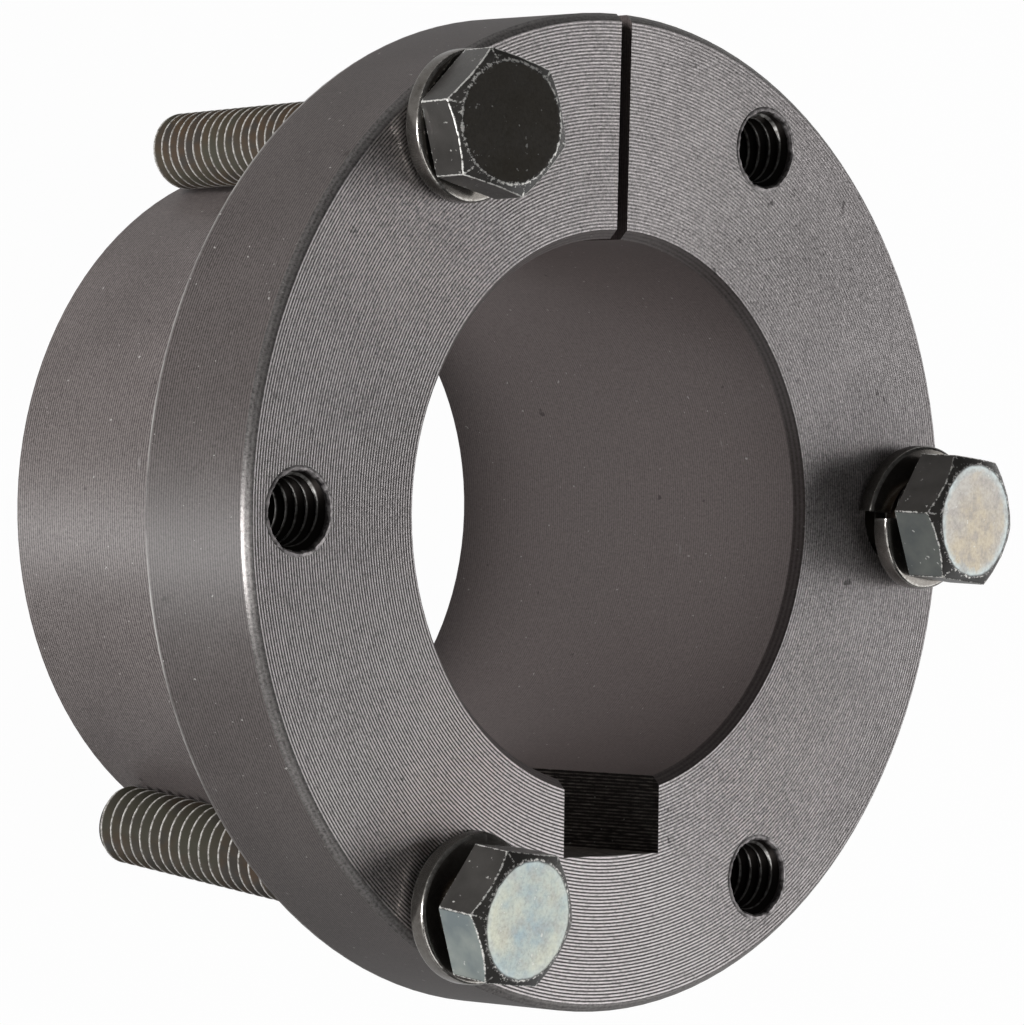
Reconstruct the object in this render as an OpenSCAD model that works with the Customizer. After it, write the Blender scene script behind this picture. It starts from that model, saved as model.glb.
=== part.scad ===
// Split taper bushing with a bolt flange, three cap screws and their lock washers.
// It stands on the small end of its barrel, +Z along the shaft, flange on top.
// The three screws hang loose in their clearance holes and lean a few degrees.

/* [Bushing] */
// Outer diameter of the flange
flange_d = 98.4; // [97:0.1:130]
// Thickness of the flange
flange_t = 14.3; // [12:0.1:17]
// Length of the whole bushing along the shaft
body_l = 49.2; // [46:0.1:51]
// Diameter of the barrel at its small end
barrel_end_d = 71.3; // [70.5:0.1:71.5]
// Growth of the barrel's diameter for each millimetre towards the flange
barrel_taper = 0.0625; // [0:0.0025:0.07]
// Corner broken off the flange's front edge
flange_edge = 0.75; // [0.2:0.05:2]
// Corner broken off the flange's back edge
flange_back_edge = 0.25; // [0.1:0.05:1]
// Corner broken off the barrel's small end
barrel_edge = 0.4; // [0.1:0.05:1]

/* [Bore] */
// Diameter of the shaft bore
bore_d = 54; // [40:0.1:56]
// Chamfer at the flange end of the bore
bore_front_edge = 0.9; // [0.2:0.05:1.5]
// Chamfer at the barrel end of the bore
bore_back_edge = 0.45; // [0.2:0.05:1]
// Width of the keyway
key_w = 13.4; // [8:0.1:16]
// Depth of the keyway, from the bore's lowest line to its floor
key_depth = 6.8; // [3:0.1:7]
// Width of the saw cut that splits the bushing
split_w = 1.45; // [0.8:0.05:3]
// Angle of the saw cut around the shaft
split_angle = 89; // [80:0.5:100]

/* [Holes] */
// Diameter of the circle that all six holes lie on
bolt_circle_d = 85; // [84:0.1:86]
// Number of tapped jacking holes, and of clearance holes
hole_n = 3; // [3:1:3]
// Major diameter of the thread, of the tapped holes and of the screws
thread_d = 7.9; // [6:0.1:8]
// Gap round a screw in its clearance hole, on the diameter
hole_gap = 2.4; // [2.3:0.1:2.8]
// Chamfer at the mouth of each hole
hole_edge = 0.35; // [0.1:0.05:0.8]

/* [Cap screws] */
// Length under the head
screw_l = 51; // [20:0.1:52]
// Depth of the thread below its crests, as far as the plain shank goes in
thread_skin = 0.15; // [0.1:0.05:0.4]
// Size of the hexagon across its flats
head_af = 12.7; // [11:0.1:13]
// Height of the head
head_h = 5; // [3:0.1:7]
// Diameter of the flat circle left on top by the head's chamfer
head_face_d = 11.8; // [9:0.1:12.4]
// Slope of the head's chamfer
head_slope = 30; // [15:1:40]
// Chamfer at the threaded end
end_edge = 0.5; // [0.3:0.1:1.5]
// Lean of each screw towards +X, in degrees
lean_x = [4.4, -7.8, 2.5];
// Lean of each screw towards +Y, in degrees
lean_y = [-1.9, 0.8, -6.7];
// Turn of each hexagon about its own screw
hex_turn = [-6, -15, -6];
// Height of the middle of each head's underside above the flange
head_lift = [4.25, 3.45, 4];

/* [Lock washers] */
// Outer diameter
washer_d = 14.8; // [14:0.1:16]
// Gap between the screw and the washer, on the diameter
washer_gap = 0.5; // [0.45:0.05:1]
// Thickness of the section
washer_t = 2; // [1.2:0.1:2.1]
// Width of the slit where the ends face each other, in degrees
washer_slit = 6; // [4:1:20]
// Direction of the slit of each washer
slit_angle = [178, 15, 88];
// How far the upper end springs up above the lower one
washer_rise = [2.2, 0.8, 1.75];
// How far the washer tips, up a quarter turn after its lower end and down before its upper end
washer_tip = [0.6, 0, 0.7];

/* [Hidden] */
$fn = 120;
eps = 0.02;
over = 5;
bore_r = bore_d/2;
flange_r = flange_d/2;
barrel_end_r = barrel_end_d/2;
flange_z = body_l - flange_t;
barrel_root_r = barrel_end_r + flange_z*barrel_taper/2;
bolt_r = bolt_circle_d/2;
tap_r = thread_d/2;
clear_r = (thread_d + hole_gap)/2;
shank_r = thread_d/2 - thread_skin;
washer_bore_r = (thread_d + washer_gap)/2;
pivot_z = body_l - flange_t/2;
washer_steps = 60;

// angle of clearance hole i; each tapped hole lies half way to the next one
function hole_angle(i) = i*360/hole_n;

// where the middle line of screw i is at height z
function screw_xy(i, z) = [
    bolt_r*cos(hole_angle(i)) + (z - pivot_z)*tan(lean_x[i]),
    bolt_r*sin(hole_angle(i)) + (z - pivot_z)*tan(lean_y[i])];

// moves a child from the origin onto the line of screw i, at height z
module on_screw(i, z) {
    p = screw_xy(i, z);
    dir = [tan(lean_x[i]), tan(lean_y[i]), 1];
    translate([p[0], p[1], z])
        rotate([0, acos(1/norm(dir)), atan2(dir[1], dir[0])])
            rotate([0, 0, -atan2(dir[1], dir[0])])
                children();
}

// a through hole of radius r in the flange, with both mouths chamfered
module flange_hole(r, angle) {
    rotate([0, 0, angle])
        translate([bolt_r, 0, 0]) {
            translate([0, 0, flange_z - over])
                cylinder(r = r, h = flange_t + 2*over);
            translate([0, 0, body_l - hole_edge])
                cylinder(r1 = r, r2 = r + hole_edge + eps, h = hole_edge + eps);
            translate([0, 0, flange_z - eps])
                cylinder(r1 = r + hole_edge + eps, r2 = r, h = hole_edge + eps);
        }
}

module turned_body() {
    rotate_extrude()
        polygon([
            [bore_r + bore_back_edge, 0],
            [barrel_end_r - barrel_edge, 0],
            [barrel_end_r, barrel_edge],
            [barrel_root_r, flange_z],
            [flange_r - flange_back_edge, flange_z],
            [flange_r, flange_z + flange_back_edge],
            [flange_r, body_l - flange_edge],
            [flange_r - flange_edge, body_l],
            [bore_r + bore_front_edge, body_l],
            [bore_r, body_l - bore_front_edge],
            [bore_r, bore_back_edge]]);
}

module keyway() {
    translate([-key_w/2, -bore_r - key_depth, -over])
        cube([key_w, bore_r + key_depth, body_l + 2*over]);
}

module saw_cut() {
    rotate([0, 0, split_angle])
        translate([0, -split_w/2, -over])
            cube([flange_r + over, split_w, body_l + 2*over]);
}

module bushing() {
    color([0.30, 0.28, 0.28])
        difference() {
            turned_body();
            keyway();
            saw_cut();
            for (i = [0:hole_n - 1]) {
                flange_hole(clear_r, hole_angle(i));
                flange_hole(tap_r, hole_angle(i) + 180/hole_n);
            }
        }
}

// hexagon head standing on z = 0, its top corners turned away by the chamfer
module hex_head() {
    slope_h = (head_af - head_face_d)*tan(head_slope);
    intersection() {
        cylinder(d = head_af/cos(30), h = head_h, $fn = 6);
        union() {
            translate([0, 0, head_h - slope_h])
                cylinder(d1 = head_face_d + 2*slope_h/tan(head_slope), d2 = head_face_d, h = slope_h);
            cylinder(d = head_face_d + 2*slope_h/tan(head_slope), h = head_h - slope_h);
        }
    }
}

// screw i, hanging by its head, its threaded end down
module cap_screw(i) {
    seat_z = body_l + head_lift[i];
    color([0.20, 0.19, 0.18])
        on_screw(i, seat_z) {
            rotate([0, 0, hex_turn[i]])
                hex_head();
            translate([0, 0, end_edge - screw_l])
                cylinder(r = shank_r, h = screw_l - end_edge + eps);
            translate([0, 0, -screw_l])
                cylinder(r1 = shank_r - end_edge, r2 = shank_r, h = end_edge);
        }
}

// corners of the washer's section after the share s of its one turn
function washer_section(i, s) =
    let (a = -washer_slit/2 - s*(360 - washer_slit), z = s*washer_rise[i] + washer_tip[i]*sin(360*s))
    [for (c = [[washer_bore_r, 0], [washer_d/2, 0], [washer_d/2, washer_t], [washer_bore_r, washer_t]])
        [c[0]*cos(a), c[0]*sin(a), c[1] + z]];

// split spring washer i: one open turn of a square section
module lock_washer(i) {
    n = washer_steps;
    points = [for (k = [0:n]) each washer_section(i, k/n)];
    sides = [for (k = [0:n - 1], c = [0:3])
        [4*k + c, 4*(k + 1) + c, 4*(k + 1) + (c + 1)%4, 4*k + (c + 1)%4]];
    lower_end = [0, 1, 2, 3];
    upper_end = [4*n + 3, 4*n + 2, 4*n + 1, 4*n];
    p = screw_xy(i, body_l + washer_t);
    color([0.55, 0.55, 0.53])
        translate([p[0], p[1], body_l])
            rotate([0, 0, slit_angle[i]])
                polyhedron(points = points, faces = concat([lower_end], sides, [upper_end]), convexity = 4);
}

bushing();
cap_screw(0);  // cap_screw_1
cap_screw(1);  // cap_screw_2
cap_screw(2);  // cap_screw_3
lock_washer(0);  // lock_washer_1
lock_washer(1);  // lock_washer_2
lock_washer(2);  // lock_washer_3
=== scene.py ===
import math

import bpy
from mathutils import Matrix, Quaternion, Vector


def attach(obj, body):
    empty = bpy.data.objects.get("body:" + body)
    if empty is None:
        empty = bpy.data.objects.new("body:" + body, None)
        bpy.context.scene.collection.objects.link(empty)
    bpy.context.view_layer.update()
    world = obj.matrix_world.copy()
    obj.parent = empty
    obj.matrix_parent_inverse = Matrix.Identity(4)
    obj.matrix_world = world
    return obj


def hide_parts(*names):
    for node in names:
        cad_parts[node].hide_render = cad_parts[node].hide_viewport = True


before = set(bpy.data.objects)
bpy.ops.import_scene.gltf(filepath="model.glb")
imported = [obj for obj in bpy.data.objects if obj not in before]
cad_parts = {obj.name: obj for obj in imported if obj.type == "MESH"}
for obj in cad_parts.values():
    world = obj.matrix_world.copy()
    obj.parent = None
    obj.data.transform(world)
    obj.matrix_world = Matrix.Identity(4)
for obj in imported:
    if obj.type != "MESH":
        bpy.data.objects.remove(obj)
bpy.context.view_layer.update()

MM = 0.001
COUNT = 3

# Sizes in millimetres, as in the solids
BODY_L = 49.2
FLANGE_T = 14.3
FLANGE_R = 49.2
BOLT_R = 42.5
THREAD_R = 3.95
THREAD_PITCH = 25.4/18
THREAD_DEPTH = 0.78
SCREW_L = 51.0
HEAD_AF = 12.7
HEAD_H = 5.0
HEAD_FACE_R = 5.9
HEAD_SLOPE = math.radians(30)
END_EDGE = 0.5
LEAN_X = (4.4, -7.8, 2.5)
LEAN_Y = (-1.9, 0.8, -6.7)
HEX_TURN = (-6, -15, -6)
HEAD_LIFT = (4.25, 3.45, 4.0)
WASHER_R = 7.4
WASHER_BORE_R = 4.2
WASHER_T = 2.0
WASHER_SLIT = 6
SLIT_ANGLE = (178, 15, 88)
WASHER_RISE = (2.2, 0.8, 1.75)
WASHER_TIP = (0.6, 0.0, 0.7)
HOLE_EDGE = 0.35
BORE_R = 27.0
KEY_W = 13.4
KEY_FLOOR_R = 33.8
SPLIT_ANGLE = 89
FLANGE_Z = BODY_L - FLANGE_T
PIVOT_Z = BODY_L - FLANGE_T/2

# Angle from one screw to the next, and from a screw to the tapped hole after it
SCREW_STEP = 120
TAPPED_STEP = 60

# Colours of the bushing, linear
FACE_DARK = (0.075, 0.068, 0.067, 1)
FACE_LIGHT = (0.80, 0.75, 0.75, 1)
STEEL_DARK = (0.032, 0.026, 0.025, 1)
STEEL_LIGHT = (0.185, 0.163, 0.158, 1)
# The bore is drawn lighter than the same steel on rim and barrel: painted light, for light that hardly
# reaches into it
BORE_DARK = (0.070, 0.057, 0.055, 1)
BORE_LIGHT = (0.20, 0.170, 0.165, 1)
SCRATCH = (0.40, 0.39, 0.38, 1)
SPECK = (0.52, 0.51, 0.49, 1)
BLACK = (0.012, 0.009, 0.008, 1)
BROACHED = (0.30, 0.27, 0.24, 1)
TAPPED_BLACK = (0.020, 0.016, 0.014, 1)
TAPPED_CREST_DULL = (0.16, 0.15, 0.14, 1)
TAPPED_CREST = (0.55, 0.54, 0.52, 1)
LIP_DARK = (0.10, 0.09, 0.09, 1)
LIP_LIGHT = (0.62, 0.58, 0.58, 1)

# Colours of the screws and washers, linear
SCREW_BLACK = (0.030, 0.028, 0.026, 1)
DULL_BLACK = (0.050, 0.047, 0.044, 1)
# Light blue of the flat that faces the strip lamps: painted light
LIT_BLUE_DARK = (0.13, 0.155, 0.16, 1)
LIT_BLUE_LIGHT = (0.23, 0.255, 0.235, 1)
BRIGHT = (0.66, 0.65, 0.62, 1)
CREST_DULL = (0.11, 0.10, 0.088, 1)
CREST = (0.50, 0.485, 0.46, 1)
FLANK = (0.060, 0.053, 0.046, 1)
ROOT_BROWN = (0.090, 0.060, 0.038, 1)
OLIVE = (0.070, 0.066, 0.050, 1)
PALE_BLUE = (0.46, 0.53, 0.54, 1)
STAIN = (0.29, 0.27, 0.25, 1)
DIM_BLUE = (0.28, 0.35, 0.37, 1)
PALE_YELLOW = (0.42, 0.37, 0.29, 1)
PALE_GREY = (0.40, 0.38, 0.35, 1)
PALE_SKY = (0.47, 0.48, 0.40, 1)
# The second screw's face is drawn dark: painted reflection of the dark surroundings its plating mirrors
PAINTED_DARK_FACE = (0.085, 0.078, 0.068, 1)
PAINTED_DARK_BROWN = (0.070, 0.062, 0.050, 1)
SPRING_DARK = (0.10, 0.09, 0.08, 1)
SPRING_LIGHT = (0.20, 0.185, 0.17, 1)

# Distance over which a bump rises, where it has none of its own
BUMP_REACH = 0.04*MM


class Nodes:
    """A material under construction, with short calls for the nodes used here."""

    def __init__(self, name):
        self.material = bpy.data.materials.new(name)
        self.material.use_nodes = True
        self.tree = self.material.node_tree
        self.shader = self.tree.nodes["Principled BSDF"]

    def add(self, kind, **settings):
        node = self.tree.nodes.new(kind)
        for key, value in settings.items():
            setattr(node, key, value)
        return node

    def plug(self, value, socket):
        if isinstance(value, bpy.types.NodeSocket):
            self.tree.links.new(value, socket)
        else:
            socket.default_value = value

    def math(self, operation, a, b=0.0, c=0.0):
        node = self.add("ShaderNodeMath", operation=operation)
        for value, socket in zip((a, b, c), node.inputs):
            self.plug(value, socket)
        return node.outputs[0]

    def times(self, first, *others):
        for other in others:
            first = self.math("MULTIPLY", first, other)
        return first

    def scaled(self, value, factor, added):
        return self.math("MULTIPLY_ADD", value, factor, added)

    def swing(self, noise, factor, added):
        """A noise about its middle, scaled and added to what is there."""
        return self.scaled(self.math("SUBTRACT", noise, 0.5), factor, added)

    def ramp(self, value, low, high):
        node = self.add("ShaderNodeMapRange", clamp=True)
        self.plug(value, node.inputs[0])
        node.inputs[1].default_value = low
        node.inputs[2].default_value = high
        return node.outputs[0]

    def mix(self, share, a, b):
        node = self.add("ShaderNodeMix", data_type="RGBA")
        self.plug(share, node.inputs[0])
        self.plug(a, node.inputs[6])
        self.plug(b, node.inputs[7])
        return node.outputs[2]

    def noise(self, scale, detail, vector=None, roughness=0.6):
        node = self.add("ShaderNodeTexNoise")
        node.inputs["Scale"].default_value = scale
        node.inputs["Detail"].default_value = detail
        node.inputs["Roughness"].default_value = roughness
        self.plug(vector or self.place(), node.inputs["Vector"])
        return node.outputs[0]

    def patches(self, scale, detail, low, high):
        """Soft-edged patches where a noise rises from low to high."""
        return self.ramp(self.noise(scale, detail), low, high)

    def wave(self, along, pitch, wander):
        """A sine of the given pitch in millimetres along a coordinate in metres."""
        turns = self.math("ADD", self.math("DIVIDE", along, pitch*MM), wander)
        return self.math("SINE", self.times(turns, 2*math.pi))

    def place(self):
        return self.add("ShaderNodeTexCoord").outputs["Object"]

    def attribute(self, name):
        return self.add("ShaderNodeAttribute", attribute_name=name).outputs["Fac"]

    def distance(self, a, b):
        node = self.add("ShaderNodeVectorMath", operation="DISTANCE")
        self.plug(a, node.inputs[0])
        node.inputs[1].default_value = b
        return node.outputs["Value"]

    def stretch(self, vector, scale):
        node = self.add("ShaderNodeVectorMath", operation="MULTIPLY")
        self.plug(vector, node.inputs[0])
        node.inputs[1].default_value = scale
        return node.outputs[0]

    def split(self, vector):
        node = self.add("ShaderNodeSeparateXYZ")
        self.plug(vector, node.inputs[0])
        return node.outputs

    def join(self, x, y, z):
        node = self.add("ShaderNodeCombineXYZ")
        for value, socket in zip((x, y, z), node.inputs):
            self.plug(value, socket)
        return node.outputs[0]

    def bump(self, height, strength, before=None, reach=BUMP_REACH):
        node = self.add("ShaderNodeBump")
        node.inputs["Strength"].default_value = strength
        node.inputs["Distance"].default_value = reach
        self.plug(height, node.inputs["Height"])
        if before:
            self.plug(before, node.inputs["Normal"])
        return node.outputs[0]

    def finish(self, colour, roughness, normal, metallic, specular):
        self.plug(colour, self.shader.inputs["Base Color"])
        self.plug(roughness, self.shader.inputs["Roughness"])
        self.plug(metallic, self.shader.inputs["Metallic"])
        self.plug(normal, self.shader.inputs["Normal"])
        self.shader.inputs["Specular IOR Level"].default_value = specular
        return self.material


# Groove pitches of the turned surfaces, in millimetres
FACE_PITCH = 0.333
RIM_PITCH = 0.338
BORE_PITCH = 0.308
BROACH_PITCH = 0.336
# Radius at which the face is unrolled, in millimetres, for what breaks up its grooves
UNROLLED_R = 38
# Noise scales along radius, arc and height, or along X, Y and Z
DASH_STRETCH = (3400, 1500, 3400)
KEY_DASH_STRETCH = (3000, 3000, 700)
SCRATCH_STRETCH = (1100, 170, 520)
# Noises: scale, detail, and for some their coordinates (None for the object's own) and roughness
GRAIN = (3600, 4.0, None, 0.75)
BLOTCH = (70, 4.0)
WANDER = (25, 1.0)
# Detail of the dashes, and their roughness
DASH_DETAIL = 4.0
DASH_ROUGHNESS = 0.7
SCRATCH_DETAIL = 2.0
# How many pitches the grooves wander
WANDER_PITCHES = 0.5
# A surface counts as flat when its normal's share along Z is above this
FLAT_FROM = 0.9
# Margins round the keyway in which its material holds: inside the bore, at its sides, past its floor
KEY_MARGINS = (1.0, 0.05, 1.5)
# Patches of marks: noise scale and detail, and the levels between which they fade in
NICKS = (520, 2.0, 0.73, 0.77)
SPECKS = (1900, 1.0, 0.765, 0.79)
BURRS = (2300, 3.0, 0.50, 0.60)
MOUTHS = (1500, 3.0, 0.40, 0.56)
BACK_LINE = (90, 4.0, 0.32, 0.60)
PLAIN_SPOTS = (34, 2.0, 0.40, 0.60)
SCRATCHES = (0.75, 0.79)
# How much of its colour each mark gives
NICK_SHARE = 0.6
SCRATCH_SHARE = 0.22
SPECK_SHARE = 0.5
BURR_SHARE = 0.6
MOUTH_SHARE = 0.8
BACK_LINE_SHARE = 0.6
# Reach of the marks round a tapped hole and at the flange's back edge, in millimetres
BURR_REACH = (0.95, 0.35)
MOUTH_REACH = 0.05
MOUTH_DEPTH = 0.02
BACK_LINE_REACH = (0.55, 0.35)
BACK_LINE_DEPTH = 0.4
# Contrast of the face's grooves, each as slope and value at zero: with the dashes, with plain spots,
# and with the direction, highest towards -X and -Y as painted light, for how the light falls across the
# grooves there
DASH_LEVELS = (0.36, 0.64)
DASH_CONTRAST = (0.30, 0.14)
SPOT_CONTRAST = (0.45, 0.60)
PAINTED_LIGHT_CONTRAST = (-0.60, 1.45)
# Lightness of the face: its middle, what dashes, grain and blotches add, and the levels of the ramp
FACE_MIDDLE = 0.49
FACE_DASHES = 0.8
FACE_GRAIN = 1.2
FACE_BLOTCH = 0.3
FACE_LEVELS = (0.08, 0.92)
# The same for rim and barrel, for the bore and for the keyway
RIM_LINES = 0.30
RIM_GRAIN = 1.7
RIM_BLOTCH = 0.4
RIM_LEVELS = (0.62, 1.48)
BORE_LINES = 0.20
BORE_GRAIN = 1.6
BORE_LEVELS = (0.30, 1.30)
KEY_LINES = 0.20
KEY_LEVELS = (0.52, 0.95)
# Painted shade: how much darker the rim is drawn than the barrel, which is the same steel
RIM_PAINTED_SHADE = 0.42
# The flange's front corner: its least slope, how strongly it looks rounded, and how much lighter it is
# drawn, mottled by its grain, partly bare metal and partly painted highlight
CORNER_FROM = 0.3
CORNER_CURVE = 0.17
BARE_AND_SHEEN_LEVELS = (0.35, 0.65)
BARE_AND_SHEEN_SHARE = (0.30, 0.14)
# Roughness: with the grain and without, then what keyway and corner add, and how metallic they are
TURNED_ROUGH = (0.16, 0.38)
KEY_ROUGHER = 0.1
CORNER_ROUGHER = -0.02
FACE_METAL = 0.55
CORNER_METAL = 0.6
TURNED_SPECULAR = 0.35
# Heights of the relief, and the strength of its bumps; the corner's height is in metres, with full reach
FACE_RELIEF_DASHES = 2.0
FACE_RELIEF_LINES = 0.7
RIM_RELIEF_GRAIN = 1.0
RIM_RELIEF = 0.22
KEY_RELIEF = 0.6
GROOVE_BUMP = 0.5
GRAIN_BUMP = 0.2
CORNER_BUMP = 1.0
CORNER_REACH = 1.0
# Shine stretched by the grooves round the shaft, and its direction in turns
STRETCHED_SHINE = 0.8
QUARTER_TURN = 0.25


class TurnedSteel(Nodes):
    """The bushing: coarse rings on the face, fine lines round rim, barrel and bore."""

    def build(self):
        self.find_surfaces()
        self.cut_grooves()
        self.round_corner()
        colour = self.marked(self.grooved())
        # Partly bare metal, partly painted highlight: the front corner drawn lighter, mottled by the
        # grain
        bare_and_sheen = self.scaled(self.ramp(self.grain, *BARE_AND_SHEEN_LEVELS), *BARE_AND_SHEEN_SHARE)
        colour = self.mix(self.times(self.corner, bare_and_sheen), colour, SCRATCH)
        rough = self.scaled(self.grain, *TURNED_ROUGH)
        rough = self.scaled(self.keyway, KEY_ROUGHER, rough)
        rough = self.scaled(self.corner, CORNER_ROUGHER, rough)
        face_metal = self.times(self.flat, FACE_METAL)
        metal = self.math("MAXIMUM", face_metal, self.times(self.corner, CORNER_METAL))
        round_the_shaft = self.add("ShaderNodeTangent", direction_type="RADIAL", axis="Z")
        self.plug(round_the_shaft.outputs[0], self.shader.inputs["Tangent"])
        self.shader.inputs["Anisotropic"].default_value = STRETCHED_SHINE
        self.shader.inputs["Anisotropic Rotation"].default_value = QUARTER_TURN
        return self.finish(colour, rough, self.relief(), metal, TURNED_SPECULAR)

    def find_surfaces(self):
        """Masks of the surfaces, from where a point lies and which way it faces."""
        self.here = self.place()
        self.x, self.y, self.z = self.split(self.here)
        squares = self.math("ADD", self.times(self.x, self.x), self.times(self.y, self.y))
        self.radius = self.math("SQRT", squares)
        facing = self.add("ShaderNodeNewGeometry").outputs["True Normal"]
        facing_x, facing_y, self.facing_z = self.split(facing)
        outward = self.math("ADD", self.times(self.x, facing_x), self.times(self.y, facing_y))
        self.outside = self.math("GREATER_THAN", outward, 0.0)
        self.flat = self.math("GREATER_THAN", self.math("ABSOLUTE", self.facing_z), FLAT_FROM)
        self.turned = self.math("SUBTRACT", 1.0, self.flat)
        self.bore = self.times(self.math("LESS_THAN", outward, 0.0), self.turned)
        inner, sides, past = KEY_MARGINS
        low_enough = self.math("LESS_THAN", self.y, -(BORE_R - inner)*MM)
        narrow = self.math("LESS_THAN", self.math("ABSOLUTE", self.x), (KEY_W/2 + sides)*MM)
        within = self.math("LESS_THAN", self.radius, (KEY_FLOOR_R + past)*MM)
        self.keyway = self.times(low_enough, narrow, within, self.turned)

    def cut_grooves(self):
        """Grooves of the tool, which wander a little, and the noises that break them up."""
        swung = self.add("ShaderNodeVectorRotate", rotation_type="Z_AXIS")
        self.plug(self.here, swung.inputs["Vector"])
        swung.inputs["Angle"].default_value = math.radians(180 - SPLIT_ANGLE)
        swung_place = self.split(swung.outputs[0])
        arc = self.times(self.math("ARCTAN2", swung_place[1], swung_place[0]), UNROLLED_R*MM)
        unrolled = self.join(self.radius, arc, self.z)
        wander = self.times(self.noise(*WANDER), WANDER_PITCHES)
        self.face_wave = self.wave(self.radius, FACE_PITCH, wander)
        self.rim_wave = self.wave(self.z, RIM_PITCH, wander)
        self.bore_wave = self.wave(self.z, BORE_PITCH, wander)
        self.broach_wave = self.wave(self.y, BROACH_PITCH, 0.0)
        dash_place = self.stretch(unrolled, DASH_STRETCH)
        self.dashes = self.noise(1.0, DASH_DETAIL, dash_place, DASH_ROUGHNESS)
        dash_place = self.stretch(self.here, KEY_DASH_STRETCH)
        self.key_dashes = self.noise(1.0, DASH_DETAIL, dash_place, DASH_ROUGHNESS)
        self.grain = self.noise(*GRAIN)
        self.blotch = self.noise(*BLOTCH)

    def round_corner(self):
        """The flange's front corner, and the height that makes it look turned round."""
        slope = self.times(self.facing_z, self.outside, self.turned)
        self.corner = self.math("GREATER_THAN", slope, CORNER_FROM)
        middle = self.math("ADD", self.z, (FLANGE_R - BODY_L)*MM)
        across = self.math("SUBTRACT", self.radius, middle)
        curve = self.times(self.times(across, across), -CORNER_CURVE/MM)
        self.corner_height = self.times(curve, self.corner)

    def grooved(self):
        """Colour of each surface with its grooves."""
        contrast = self.scaled(self.ramp(self.dashes, *DASH_LEVELS), *DASH_CONTRAST)
        contrast = self.times(contrast, self.scaled(self.patches(*PLAIN_SPOTS), *SPOT_CONTRAST))
        # Painted light: more groove contrast towards -X and -Y, for how the light falls across the
        # grooves
        towards = self.math("DIVIDE", self.math("ADD", self.x, self.y), self.radius)
        contrast = self.times(contrast, self.scaled(towards, *PAINTED_LIGHT_CONTRAST))
        share = self.scaled(self.face_wave, contrast, FACE_MIDDLE)
        share = self.swing(self.dashes, FACE_DASHES, share)
        share = self.swing(self.grain, FACE_GRAIN, share)
        share = self.swing(self.blotch, FACE_BLOTCH, share)
        face_colour = self.mix(self.ramp(share, *FACE_LEVELS), FACE_DARK, FACE_LIGHT)
        line = self.scaled(self.grain, RIM_GRAIN, self.times(self.blotch, RIM_BLOTCH))
        line = self.scaled(self.rim_wave, RIM_LINES, line)
        rim_colour = self.mix(self.ramp(line, *RIM_LEVELS), STEEL_DARK, STEEL_LIGHT)
        line = self.scaled(self.bore_wave, BORE_LINES, self.times(self.grain, BORE_GRAIN))
        bore_colour = self.mix(self.ramp(line, *BORE_LEVELS), BORE_DARK, BORE_LIGHT)
        line = self.scaled(self.broach_wave, KEY_LINES, self.key_dashes)
        key_colour = self.mix(self.ramp(line, *KEY_LEVELS), BLACK, BROACHED)
        # Painted shade: the flange's rim is drawn darker than the barrel
        flange = self.math("GREATER_THAN", self.z, FLANGE_Z*MM)
        rim_colour = self.mix(self.times(flange, RIM_PAINTED_SHADE), rim_colour, BLACK)
        colour = self.mix(self.bore, rim_colour, bore_colour)
        colour = self.mix(self.flat, colour, face_colour)
        return self.mix(self.keyway, colour, key_colour)

    def marked(self, colour):
        """Nicks, scratches, specks, burrs and rough mouths of the tapped holes, light back edge."""
        scratch_place = self.stretch(self.here, SCRATCH_STRETCH)
        scratch = self.ramp(self.noise(1.0, SCRATCH_DETAIL, scratch_place), *SCRATCHES)
        nick = self.patches(*NICKS)
        speck = self.patches(*SPECKS)
        away = self.from_tapped_holes()
        burr_from, burr_to = BURR_REACH
        burr = self.ramp(away, (THREAD_R + burr_from)*MM, (THREAD_R + burr_to)*MM)
        burr = self.times(burr, self.flat, self.patches(*BURRS))
        high = self.math("GREATER_THAN", self.z, (BODY_L - HOLE_EDGE - MOUTH_DEPTH)*MM)
        mouth = self.math("LESS_THAN", away, (THREAD_R + HOLE_EDGE + MOUTH_REACH)*MM)
        mouth = self.times(mouth, high, self.patches(*MOUTHS))
        line_from, line_to = BACK_LINE_REACH
        back_line = self.ramp(self.z, (FLANGE_Z + line_from)*MM, (FLANGE_Z + line_to)*MM)
        on_rim = self.math("GREATER_THAN", self.radius, (FLANGE_R - BACK_LINE_DEPTH)*MM)
        back_line = self.times(back_line, on_rim, self.patches(*BACK_LINE))
        marks = (
            (nick, NICK_SHARE, BLACK),
            (scratch, SCRATCH_SHARE, SCRATCH),
            (speck, SPECK_SHARE, SPECK),
            (burr, BURR_SHARE, SCRATCH),
            (mouth, MOUTH_SHARE, SCRATCH),
            (back_line, BACK_LINE_SHARE, SPECK))
        for mark, share, paint in marks:
            colour = self.mix(self.times(mark, share), colour, paint)
        return colour

    def from_tapped_holes(self):
        """Distance from the axis of the nearest tapped hole."""
        flat_place = self.join(self.x, self.y, 0.0)
        nearest = None
        for i in range(COUNT):
            a = math.radians(SCREW_STEP*i + TAPPED_STEP)
            centre = (BOLT_R*MM*math.cos(a), BOLT_R*MM*math.sin(a), 0)
            away = self.distance(flat_place, centre)
            nearest = self.math("MINIMUM", nearest, away) if nearest else away
        return nearest

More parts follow.
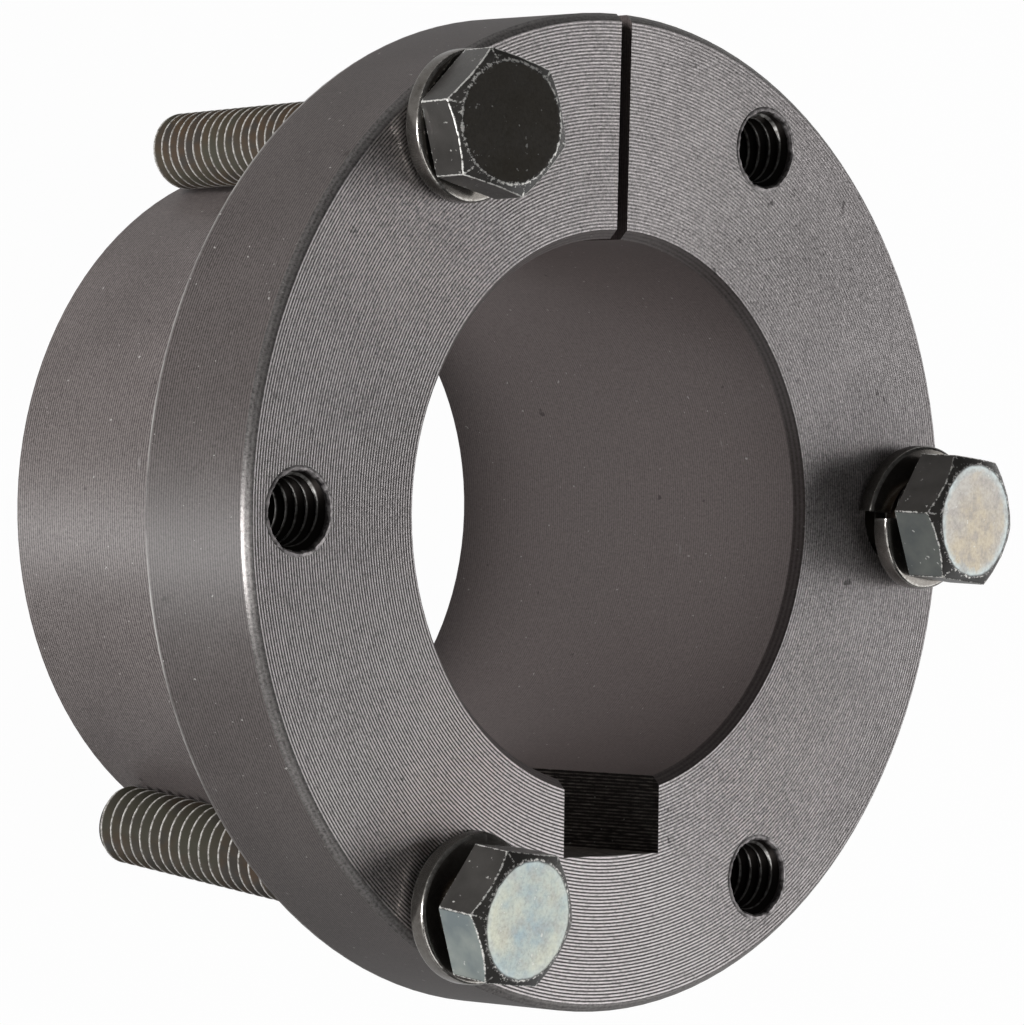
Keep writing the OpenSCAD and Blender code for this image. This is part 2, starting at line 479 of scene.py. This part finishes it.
    def relief(self):
        """Bumps of the grooves and of the grain."""
        face_lines = self.times(self.face_wave, FACE_RELIEF_LINES)
        face_height = self.times(self.scaled(self.dashes, FACE_RELIEF_DASHES, face_lines), self.flat)
        rim_height = self.scaled(self.grain, RIM_RELIEF_GRAIN, self.rim_wave)
        rim_height = self.times(rim_height, self.times(self.turned, RIM_RELIEF))
        key_height = self.times(self.broach_wave, self.keyway, KEY_RELIEF)
        height = self.math("ADD", self.math("ADD", face_height, rim_height), key_height)
        normal = self.bump(height, GROOVE_BUMP)
        normal = self.bump(self.grain, GRAIN_BUMP, normal)
        return self.bump(self.corner_height, CORNER_BUMP, normal, CORNER_REACH)


# Noises on a screw, in the same order
CHIPS = (2600, 4.0, None, 0.75)
SCREW_FINE = (3000, 3.0)
SCREW_CLOUD = (300, 3.0)
STAINS = (620, 4.0, None, 0.7)
# Patches on a screw: noise scale and detail, and the levels between which they fade in
HUES = (120, 4.0, 0.42, 0.60)
OLIVE_SPOTS = (150, 2.0, 0.45, 0.60)
SCREW_SPECKS = (1500, 2.0, 0.69, 0.73)
# Levels between which the other looks of a screw fade in
EDGE_LEVELS = (1.08, 1.34)
STAIN_LEVELS = (0.46, 0.62)
FINE_LEVELS = (0.42, 0.70)
DARK_LEVELS = (0.35, 0.75)
LIT_BLUE_LEVELS = (0.3, 0.7)
CREST_CHIPS = (0.38, 0.60)
ROOT_LEVELS = (0.40, 0.60)
CREST_LEVELS = (0.72, 1.0)
WORN_LEVELS = (1.04, 1.13)
# How far stains move the border of the pale edge, and chips the border of worn places
EDGE_STAINS = 0.9
WORN_CHIPS = 1.3
# Shares of darkened fine spots and of specks
FINE_SHARE = 0.4
FINE_DARKER = 0.5
SCREW_SPECK_SHARE = 0.5
# Roughness with the chips and without, bump, and metal of worn places and of the face
SCREW_ROUGH = (0.22, 0.26)
CHIP_BUMP = 0.35
CHIP_REACH = 0.05*MM
WORN_METAL = 0.5
HEAD_METAL = 0.75
SCREW_SPECULAR = 0.35


def worn_screw(name, hue_a, hue_b, stained, blue_edge, battered):
    """A cap screw: dark plating, worn bright where the attribute wear is high."""
    n = Nodes(name)
    wear = n.attribute("wear")
    top = n.attribute("top")
    thread = n.attribute("thread")
    chips = n.noise(*CHIPS)
    fine = n.noise(*SCREW_FINE)
    cloud = n.noise(*SCREW_CLOUD)
    stain = n.noise(*STAINS)
    # face of the head
    hue = n.mix(n.patches(*HUES), hue_a, hue_b)
    edge = n.ramp(n.scaled(stain, EDGE_STAINS, n.attribute("rim")), *EDGE_LEVELS)
    hue = n.mix(n.times(edge, blue_edge), hue, PALE_BLUE)
    hue = n.mix(n.times(n.ramp(stain, *STAIN_LEVELS), stained), hue, STAIN)
    darker = n.mix(FINE_DARKER, hue, BLACK)
    hue = n.mix(n.times(n.ramp(fine, *FINE_LEVELS), FINE_SHARE), hue, darker)
    # its sides
    dark = n.mix(n.ramp(cloud, *DARK_LEVELS), SCREW_BLACK, DULL_BLACK)
    # Painted light: the flat that faces the strip lamps is drawn light blue, where the attribute side is
    # set
    lit_flat_blue = n.mix(n.ramp(cloud, *LIT_BLUE_LEVELS), LIT_BLUE_DARK, LIT_BLUE_LIGHT)
    colour = n.mix(top, dark, hue)
    colour = n.mix(n.attribute("side"), colour, lit_flat_blue)
    # the thread
    crest = n.mix(n.ramp(chips, *CREST_CHIPS), CREST_DULL, CREST)
    flank = n.mix(n.ramp(cloud, *ROOT_LEVELS), FLANK, ROOT_BROWN)
    flank = n.mix(n.patches(*OLIVE_SPOTS), flank, OLIVE)
    colour = n.mix(thread, colour, n.mix(n.ramp(wear, *CREST_LEVELS), flank, crest))
    # worn edges and specks
    plain = n.math("SUBTRACT", 1.0, thread)
    worn = n.ramp(n.scaled(wear, battered, n.times(chips, WORN_CHIPS)), *WORN_LEVELS)
    worn = n.times(worn, plain)
    colour = n.mix(worn, colour, BRIGHT)
    specks = n.times(n.patches(*SCREW_SPECKS), plain, SCREW_SPECK_SHARE)
    colour = n.mix(specks, colour, BRIGHT)
    rough = n.scaled(chips, *SCREW_ROUGH)
    normal = n.bump(chips, CHIP_BUMP, reach=CHIP_REACH)
    metal = n.math("MAXIMUM", n.times(worn, WORN_METAL), n.times(top, HEAD_METAL))
    return n.finish(colour, rough, normal, metal, SCREW_SPECULAR)


# The lock washers' steel: cloudy colour, bright rubbed edges, fine grain
SPRING_CLOUDS = (320, 3.0, 0.30, 0.75)
SPRING_FINE = (2500, 3.0)
RUBBED_SHARE = 0.5
RUBBED_LEVELS = (0.3, 0.6)
SPRING_ROUGH = (0.12, 0.16)
SPRING_BUMP = 0.05
SPRING_METAL = 0.9
PLAIN_SPECULAR = 0.5


def spring_steel():
    """The lock washers: bright worn edges on darker drawn faces."""
    n = Nodes("spring_steel")
    fine = n.noise(*SPRING_FINE)
    colour = n.mix(n.patches(*SPRING_CLOUDS), SPRING_DARK, SPRING_LIGHT)
    rubbed = n.times(n.attribute("wear"), RUBBED_SHARE, n.ramp(fine, *RUBBED_LEVELS))
    colour = n.mix(rubbed, colour, BRIGHT)
    rough = n.scaled(fine, *SPRING_ROUGH)
    return n.finish(colour, rough, n.bump(fine, SPRING_BUMP), SPRING_METAL, PLAIN_SPECULAR)


# The tapped holes' steel: fine grain, light on the crests, and what the lip changes
TAPPED_FINE = (1800, 3.0)
TAPPED_CREST_LEVELS = (0.35, 0.65)
TAPPED_WEAR_LEVELS = (0.5, 0.95)
LIP_GRAIN = 0.8
LIP_LEVELS = (0.0, 0.35)
# Metal and roughness, each as change on the lip and value elsewhere
TAPPED_METAL = (-0.45, 0.8)
TAPPED_ROUGH = (0.17, 0.28)
TAPPED_BUMP = 0.1


def tapped_steel():
    """Thread cut in a hole: nearly black, with light caught on its crests, and its rough lip."""
    n = Nodes("tapped_steel")
    wear = n.attribute("wear")
    lip = n.attribute("lip")
    fine = n.noise(*TAPPED_FINE)
    crest = n.mix(n.ramp(fine, *TAPPED_CREST_LEVELS), TAPPED_CREST_DULL, TAPPED_CREST)
    colour = n.mix(n.ramp(wear, *TAPPED_WEAR_LEVELS), TAPPED_BLACK, crest)
    raised = n.scaled(fine, LIP_GRAIN, n.math("SUBTRACT", wear, 1.0))
    colour = n.mix(lip, colour, n.mix(n.ramp(raised, *LIP_LEVELS), LIP_DARK, LIP_LIGHT))
    metal = n.scaled(lip, *TAPPED_METAL)
    rough = n.scaled(lip, *TAPPED_ROUGH)
    return n.finish(colour, rough, n.bump(fine, TAPPED_BUMP), metal, PLAIN_SPECULAR)


# How much of the floor's white shows in reflections
MIRRORED = 0.45
# What the camera sees of the floor is white by this share, and for the rest takes light and shadow
WHITE_SHARE = 0.98
FLOOR_GREY = (0.7, 0.7, 0.7, 1)
WHITE = (1, 1, 1, 1)


def white_floor():
    """White to the camera and in reflections, with some of the object's shadow kept."""
    n = Nodes("white_floor")
    rays = n.add("ShaderNodeLightPath")
    mirrored = n.times(rays.outputs["Is Glossy Ray"], MIRRORED)
    seen = n.math("MAXIMUM", rays.outputs["Is Camera Ray"], rays.outputs["Is Transmission Ray"])
    seen = n.math("MAXIMUM", seen, mirrored)
    diffuse = n.add("ShaderNodeBsdfDiffuse")
    diffuse.inputs["Color"].default_value = FLOOR_GREY
    glow = n.add("ShaderNodeEmission")
    glow.inputs["Color"].default_value = WHITE
    glow.inputs["Strength"].default_value = 1.0
    blend = n.add("ShaderNodeMixShader")
    n.plug(n.times(seen, WHITE_SHARE), blend.inputs[0])
    n.plug(diffuse.outputs[0], blend.inputs[1])
    n.plug(glow.outputs[0], blend.inputs[2])
    n.plug(blend.outputs[0], n.tree.nodes["Material Output"].inputs["Surface"])
    return n.material


# Edges sharper than this stay sharp
SHARP = math.radians(35)


def make_piece(name, points, faces, material, values):
    """A piece from points in millimetres, with one number for each point in each attribute."""
    mesh = bpy.data.meshes.new(name)
    mesh.from_pydata([Vector(p)*MM for p in points], [], faces)
    for key, numbers in values.items():
        layer = mesh.attributes.new(key, "FLOAT", "POINT")
        layer.data.foreach_set("value", numbers)
    mesh.materials.append(material)
    mesh.shade_smooth()
    mesh.set_sharp_from_angle(angle=SHARP)
    mesh.validate()
    piece = bpy.data.objects.new(name, mesh)
    bpy.context.scene.collection.objects.link(piece)
    return piece


def grid_faces(rows, columns, start=0):
    """Quads between rows of points, each row a ring of the same number of points."""
    faces = []
    for r in range(rows - 1):
        for c in range(columns):
            d = (c + 1) % columns
            a = start + r*columns
            b = start + (r + 1)*columns
            faces.append((a + c, a + d, b + d, b + c))
    return faces


# Rings of the hexagon head, as (kind, offset from that line, wear)
HEAD_RINGS = (
    ("face", -3.0, 0.0), ("face", -1.3, 0.0), ("face", -0.3, 0.3), ("face", -0.04, 0.85),
    ("slope", 0.05, 0.85), ("slope", 0.20, 0.6),
    ("brim", -0.20, 0.2), ("brim", -0.06, 1.0),
    ("side", 0.05, 1.0), ("side", 0.22, 0.0),
    ("base", 0.25, 0.0), ("base", 0.05, 0.7),
    ("under", 0.06, 0.6), ("under", 0.5, 0.0), ("neck", 0.0, 0.0))
# Distances from a corner, along a side, at which a head has points
CORNER_STEPS = (0.0, 0.05, 0.24, 1.6)
WORN_CORNER = 0.06
# How far the corners are worn back, and how far the slope stays inside the outline
CORNER_WORN_BACK = 0.03
SLOPE_INSIDE = 0.12
NECK_INSIDE = 0.1
# Width of the pale border on the head's face
PALE_BORDER = 3.0
FACE_END = -0.05


def hex_angles():
    """Angles round a hexagon, close together at its corners, with the wear of each."""
    apothem = HEAD_AF/2
    half_side = apothem*math.tan(math.radians(30))
    found = []
    for corner in range(6):
        for step in CORNER_STEPS[::-1] + tuple(-s for s in CORNER_STEPS[1:]):
            turn = math.degrees(math.atan2(half_side - abs(step), apothem)) - 30
            wear = 1.0 if abs(step) < WORN_CORNER else 0.0
            found.append((corner*60 + math.copysign(turn, step), wear))
        found.append((corner*60 + 30, 0.0))
    return sorted(found)


def slope_z(r):
    """Height of the head's chamfer at radius r."""
    return HEAD_H - (r - HEAD_FACE_R)*math.tan(HEAD_SLOPE)


def head_point(kind, offset, reach):
    """Radius and height of a ring's point, where the hexagon reaches out to the given radius."""
    if kind == "face":
        return HEAD_FACE_R + offset, HEAD_H
    if kind == "slope":
        r = min(HEAD_FACE_R + offset, reach - SLOPE_INSIDE)
        return r, slope_z(r)
    if kind == "brim":
        return reach + offset, slope_z(reach + offset)
    if kind == "side":
        return reach, slope_z(reach) - offset
    if kind == "base":
        return reach, offset
    if kind == "under":
        return reach - offset, 0.0
    return THREAD_R - NECK_INSIDE, 0.0


# Direction, in the head's own angles, of the flat drawn light blue as painted light from the strip lamps,
# and half its width
LIT_FLAT = 210
HALF_FLAT = 29.5


def head_rings(lit_flat_blue):
    """Points of the head round its own axis, its underside at z = 0, and their attributes."""
    angles = hex_angles()
    points = []
    values = {"wear": [], "top": [], "rim": [], "side": []}
    for kind, offset, ring_wear in HEAD_RINGS:
        on_face = kind == "face"
        on_side = kind in ("brim", "side", "base")
        for degrees, corner_wear in angles:
            a = math.radians(degrees)
            fold = math.radians(degrees % 60 - 30)
            reach = HEAD_AF/2/math.cos(fold) - (CORNER_WORN_BACK if corner_wear else 0.0)
            r, z = head_point(kind, offset, reach)
            points.append((r*math.cos(a), r*math.sin(a), z))
            off = (degrees - LIT_FLAT + 180) % 360 - 180
            lit = kind in ("side", "base") and abs(off) < HALF_FLAT
            values["wear"].append(max(ring_wear, corner_wear if on_side else 0.0))
            values["top"].append(1.0 if on_face and offset < FACE_END else 0.0)
            values["rim"].append(max(0.0, 1 + offset/PALE_BORDER) if on_face else 0.0)
            values["side"].append(lit_flat_blue if lit else 0.0)
    return points, values, len(angles)


# Thread profile over one pitch: share of the pitch, share of the depth, wear
THREAD_ROWS = (
    (0.0, 1.0, 1.0), (0.12, 1.0, 1.0), (0.20, 0.82, 0.45),
    (0.48, 0.0, 0.0), (0.64, 0.0, 0.0), (0.92, 0.82, 0.45))
THREAD_COLUMNS = 56


def thread_rings(low, high, crest_r, depth, run_out, inside=False):
    """A helical thread between two heights; crest_r is the radius of its crests."""
    step = len(THREAD_ROWS)
    rows = (math.ceil((high - low)/THREAD_PITCH) + 2)*step
    points, wear = [], []
    for k in range(rows):
        share, lift, row_wear = THREAD_ROWS[k % step]
        base = low + (k//step - 1 + share)*THREAD_PITCH
        for c in range(THREAD_COLUMNS):
            a = 2*math.pi*c/THREAD_COLUMNS
            z = min(max(base + THREAD_PITCH*c/THREAD_COLUMNS, low), high)
            r = crest_r + (1 - lift)*depth if inside else crest_r - (1 - lift)*depth
            if run_out:
                r = min(r, crest_r - run_out + max(0.0, z - low))
            if inside:
                r = max(r, crest_r + depth - min(high - z, z - low))
            points.append((r*math.cos(a), r*math.sin(a), z))
            wear.append(row_wear)
    faces = []
    for k in range(rows - 1):
        for c in range(THREAD_COLUMNS - 1):
            a = k*THREAD_COLUMNS + c
            b = a + THREAD_COLUMNS
            faces.append((a, a + 1, b + 1, b))
        if k + 1 + step < rows:
            a = k*THREAD_COLUMNS + THREAD_COLUMNS - 1
            b = a + THREAD_COLUMNS
            next_turn = (k + step)*THREAD_COLUMNS
            faces.append((a, next_turn, next_turn + THREAD_COLUMNS, b))
    return points, faces, wear


def screw_line(i, z):
    """Where the middle of screw i is at height z, in millimetres."""
    a = math.radians(SCREW_STEP*i)
    return Vector((BOLT_R*math.cos(a) + (z - PIVOT_Z)*math.tan(math.radians(LEAN_X[i])),
                   BOLT_R*math.sin(a) + (z - PIVOT_Z)*math.tan(math.radians(LEAN_Y[i])), z))


def screw_frame(i):
    """Moves screw i from the origin, head up, to its leaning place."""
    lean = Vector((math.tan(math.radians(LEAN_X[i])), math.tan(math.radians(LEAN_Y[i])), 1)).normalized()
    tilt = Matrix.Rotation(math.acos(lean.z), 4, "Y")
    towards = math.atan2(lean.y, lean.x)
    turn = Matrix.Rotation(towards, 4, "Z") @ tilt @ Matrix.Rotation(-towards, 4, "Z")
    return Matrix.Translation(screw_line(i, BODY_L + HEAD_LIFT[i])) @ turn


# How far the screw's crests stay inside its nominal radius, and how far its thread enters the head
CREST_INSIDE = 0.05
THREAD_TOP = 0.3


def cap_screw(i, material, lit_flat_blue):
    """Screw i: its head with a closed face, then its thread with a closed end."""
    place = screw_frame(i)
    spin = Matrix.Rotation(math.radians(HEX_TURN[i]), 4, "Z")
    head, values, columns = head_rings(lit_flat_blue)
    points = [place @ spin @ Vector(p) for p in head]
    faces = [f[::-1] for f in grid_faces(len(HEAD_RINGS), columns)]
    centre = len(points)
    points.append(place @ Vector((0, 0, HEAD_H)))
    faces += [(c, (c + 1) % columns, centre) for c in range(columns)]
    start = len(points)
    thread, thread_faces, thread_wear = thread_rings(
        -SCREW_L, THREAD_TOP, THREAD_R - CREST_INSIDE, THREAD_DEPTH, END_EDGE)
    points += [place @ Vector(p) for p in thread]
    faces += [tuple(v + start for v in f)[::-1] for f in thread_faces]
    end = len(points)
    points.append(place @ Vector((0, 0, -SCREW_L)))
    faces += [(start + (c + 1) % THREAD_COLUMNS, start + c, end) for c in range(THREAD_COLUMNS)]
    rest = len(points) - start
    values["wear"] += [0.0] + thread_wear + [0.0]
    values["top"] += [1.0] + [0.0]*rest
    values["rim"] += [0.0] + [0.0]*rest
    values["side"] += [0.0] + [0.0]*rest
    values["thread"] = [0.0]*start + [1.0]*rest
    node = "cap_screw_%d" % (i + 1)
    piece = make_piece("cap_screw_%d_threaded" % (i + 1), points, faces, material, values)
    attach(piece, "root")
    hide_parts(node)


WASHER_COLUMNS = 150
# Corners of the washer's section are arcs of this radius, with points at these angles
WASHER_EDGE = 0.42
WASHER_TURNS = (0, 22, 45, 68, 90)
EDGE_WEAR = 0.7
SIDE_WEAR = 0.15


def washer_section():
    """The section as (radius, height, wear), going round from its lower inner corner."""
    inner = WASHER_BORE_R + WASHER_EDGE
    outer = WASHER_R - WASHER_EDGE
    bottom = WASHER_EDGE
    top = WASHER_T - WASHER_EDGE
    found = []
    for r, z, start in ((outer, bottom, -90), (outer, top, 0), (inner, top, 90), (inner, bottom, 180)):
        for turn in WASHER_TURNS:
            a = math.radians(start + turn)
            wear = SIDE_WEAR if turn in (WASHER_TURNS[0], WASHER_TURNS[-1]) else EDGE_WEAR
            found.append((r + WASHER_EDGE*math.cos(a), z + WASHER_EDGE*math.sin(a), wear))
    return found


def lock_washer(i, material):
    """One open turn of a square section with broken corners."""
    section = washer_section()
    centre = screw_line(i, BODY_L + WASHER_T)
    centre.z = BODY_L
    points, wear = [], []
    for k in range(WASHER_COLUMNS + 1):
        share = k/WASHER_COLUMNS
        a = math.radians(SLIT_ANGLE[i] - WASHER_SLIT/2 - share*(360 - WASHER_SLIT))
        lift = share*WASHER_RISE[i] + WASHER_TIP[i]*math.sin(2*math.pi*share)
        for r, z, edge in section:
            points.append(centre + Vector((r*math.cos(a), r*math.sin(a), z + lift)))
            wear.append(max(edge, 1.0 if k in (0, WASHER_COLUMNS) else 0.0))
    size = len(section)
    faces = grid_faces(WASHER_COLUMNS + 1, size)
    faces.append(tuple(range(size))[::-1])
    faces.append(tuple(range(WASHER_COLUMNS*size, (WASHER_COLUMNS + 1)*size)))
    node = "lock_washer_%d" % (i + 1)
    piece = make_piece("lock_washer_%d_spring" % (i + 1), points, faces, material, {"wear": wear})
    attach(piece, "root")
    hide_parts(node)


# Rough lip that the tap raised round each tapped hole: radius, height above the face, wear
LIP_ROWS = (
    (4.36, -0.02, 0.62), (4.20, 0.06, 0.72), (4.00, 0.07, 0.80), (3.84, -0.05, 0.72), (3.74, -0.35, 0.40))
LIP_COLUMNS = 90
# Waves that make it uneven: how many round the hole, and how high in millimetres
LIP_WAVES = ((7, 0.030), (13, 0.035), (29, 0.030))
# What the waves do to the lip's height and to its wear
LIP_LIFT = 0.4
LIP_WEAR = 1.5
# How far the tapped thread's crests and roots stay off their nominal radius
TAPPED_CREST_OFF = 0.1
TAPPED_ROOT_OFF = 0.08


def uneven_lip(phase):
    """Rings of the lip round the hole's own axis, with their wear."""
    points, wear = [], []
    for r, height, row_wear in LIP_ROWS:
        for c in range(LIP_COLUMNS):
            a = 2*math.pi*c/LIP_COLUMNS
            uneven = sum(size*math.sin(n*a + phase*n) for n, size in LIP_WAVES)
            inner = r - uneven if r < LIP_ROWS[0][0] else r
            lift = height + uneven*LIP_LIFT if height > 0 else height
            points.append((inner*math.cos(a), inner*math.sin(a), BODY_L + lift))
            wear.append(row_wear + uneven*LIP_WEAR)
    return points, wear


def jack_thread(i, material):
    """The thread in tapped hole i, lying on the wall of its plain hole, and its lip."""
    points, faces, wear = thread_rings(
        FLANGE_Z + HOLE_EDGE, BODY_L - HOLE_EDGE, THREAD_R - THREAD_DEPTH + TAPPED_CREST_OFF,
        THREAD_DEPTH - TAPPED_ROOT_OFF, 0.0, True)
    lip_points, lip_wear = uneven_lip(i)
    faces += grid_faces(len(LIP_ROWS), LIP_COLUMNS, len(points))
    values = {"wear": wear + lip_wear, "lip": [0.0]*len(points) + [1.0]*len(lip_points)}
    a = math.radians(SCREW_STEP*i + TAPPED_STEP)
    centre = Vector((BOLT_R*math.cos(a), BOLT_R*math.sin(a), 0))
    points = [centre + Vector(p) for p in points + lip_points]
    piece = make_piece("jack_thread_%d" % (i + 1), points, faces, material, values)
    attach(piece, "root")


# Looks of the screws: two hues of the head's face, stains, blue border, wear, and the share of the flat
# drawn light blue as painted light
SCREW_LOOKS = (
    (PALE_YELLOW, PALE_GREY, 0.7, 0.9, 0.45, 0.35),
    # Painted reflection: the second face is drawn dark for the dark it mirrors
    (PAINTED_DARK_FACE, PAINTED_DARK_BROWN, 0.0, 0.0, 0.53, 0.0),
    (PALE_SKY, DIM_BLUE, 0.4, 0.4, 0.47, 1.0))

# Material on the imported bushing
steel = TurnedSteel("turned_steel").build()
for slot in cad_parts["bushing"].material_slots:
    slot.material = steel

# Screws, washers and the threads of the tapped holes
spring = spring_steel()
tapped = tapped_steel()
for i, (hue_a, hue_b, stained, blue_edge, battered, lit_flat_blue) in enumerate(SCREW_LOOKS):
    plated = worn_screw("plated_screw_%d" % (i + 1), hue_a, hue_b, stained, blue_edge, battered)
    cap_screw(i, plated, lit_flat_blue)
    lock_washer(i, spring)
    jack_thread(i, tapped)

# Floor
FLOOR_SIZE = 6
bpy.ops.mesh.primitive_plane_add(size=FLOOR_SIZE, location=(0, 0, 0))
floor = bpy.context.object
floor.name = "floor"
floor.data.materials.append(white_floor())

# Camera: it looks down at 45 degrees and is rolled, so that the shaft runs to the right
CAMERA_AT = Vector((-412.11, 3.84, 447.32))*MM
CAMERA_TO = Vector((7.457, 0.697, 32.131))*MM
CAMERA_ROLL = math.radians(90.97)
CAMERA_LENS = 204.18
CAMERA_SENSOR = 36
CAMERA_SHIFT = (-0.0327, -0.0084)
CAMERA_CLIP = (0.01, 20)
camera = bpy.data.objects.new("camera", bpy.data.cameras.new("camera"))
bpy.context.scene.collection.objects.link(camera)
camera.location = CAMERA_AT
camera.rotation_mode = "QUATERNION"
look = (CAMERA_TO - CAMERA_AT).to_track_quat("-Z", "Y")
camera.rotation_quaternion = look @ Quaternion((0, 0, 1), CAMERA_ROLL)
camera.data.lens = CAMERA_LENS
camera.data.sensor_width = CAMERA_SENSOR
camera.data.shift_x, camera.data.shift_y = CAMERA_SHIFT
camera.data.clip_start, camera.data.clip_end = CAMERA_CLIP
bpy.context.scene.camera = camera

# Lights: name, place, aim and size in metres, power in watts, kinds of rays that don't see it.
# Strips and low fill stay below the face, which they leave dark; the last three light the bore.
NOT_DIFFUSE = ("visible_diffuse",)
NOT_GLOSSY = ("visible_glossy",)
HIDDEN = ("visible_camera", "visible_glossy")
LIGHTS = (
    ("panel", (0.66, -0.25, 0.47), (0.02, 0, 0.045), (0.95, 0.50), 3.7, ()),
    ("strip", (-0.84, -0.14, 0.022), (0, 0, 0.03), (0.10, 0.04), 5.0, ()),
    ("gleam", (-0.84, -0.10, 0.022), (0, 0, 0.03), (0.10, 0.04), 9.0, NOT_DIFFUSE),
    ("low_fill", (-0.70, 0.45, 0.022), (0, 0, 0.03), (0.3, 0.04), 4.6, NOT_GLOSSY),
    ("far_strip", (0.80, 0.10, 0.022), (0, 0, 0.03), (0.40, 0.04), 11.0, NOT_GLOSSY),
    ("far_panel", (-0.38, -0.62, 0.45), (0, 0, 0.045), (0.7, 0.4), 1.8, NOT_DIFFUSE),
    ("under", (-0.006, 0, 0.001), (-0.006, 0, 1), (0.028, 0.036), 0.0100, HIDDEN),
    ("inner_low", (0.002, 0, 0.010), (0.027, 0, 0.010), (0.016, 0.014), 0.0009, HIDDEN),
    ("inner_high", (0.002, 0, 0.040), (0.027, 0, 0.040), (0.016, 0.010), 0.0022, HIDDEN))
for name, at, to, size, power, unseen_by in LIGHTS:
    light = bpy.data.lights.new(name, "AREA")
    light.shape = "RECTANGLE"
    light.size, light.size_y = size
    light.energy = power
    lamp = bpy.data.objects.new(name, light)
    bpy.context.scene.collection.objects.link(lamp)
    lamp.location = at
    lamp.rotation_mode = "QUATERNION"
    lamp.rotation_quaternion = (Vector(to) - Vector(at)).to_track_quat("-Z", "Y")
    for kind in unseen_by:
        setattr(lamp, kind, False)

# World: white to the camera, dim as a light
WORLD_DIM = 0.05
world = bpy.data.worlds.new("studio")
world.use_nodes = True
sky = world.node_tree
background = sky.nodes["Background"]
background.inputs["Color"].default_value = WHITE
rays = sky.nodes.new("ShaderNodeLightPath")
level = sky.nodes.new("ShaderNodeMapRange")
level.inputs["To Min"].default_value = WORLD_DIM
level.inputs["To Max"].default_value = 1.0
seen = sky.nodes.new("ShaderNodeMath")
seen.operation = "MAXIMUM"
sky.links.new(rays.outputs["Is Camera Ray"], seen.inputs[0])
sky.links.new(rays.outputs["Is Transmission Ray"], seen.inputs[1])
sky.links.new(seen.outputs[0], level.inputs["Value"])
sky.links.new(level.outputs[0], background.inputs["Strength"])
bpy.context.scene.world = world
bpy.context.scene.view_settings.view_transform = "Standard"
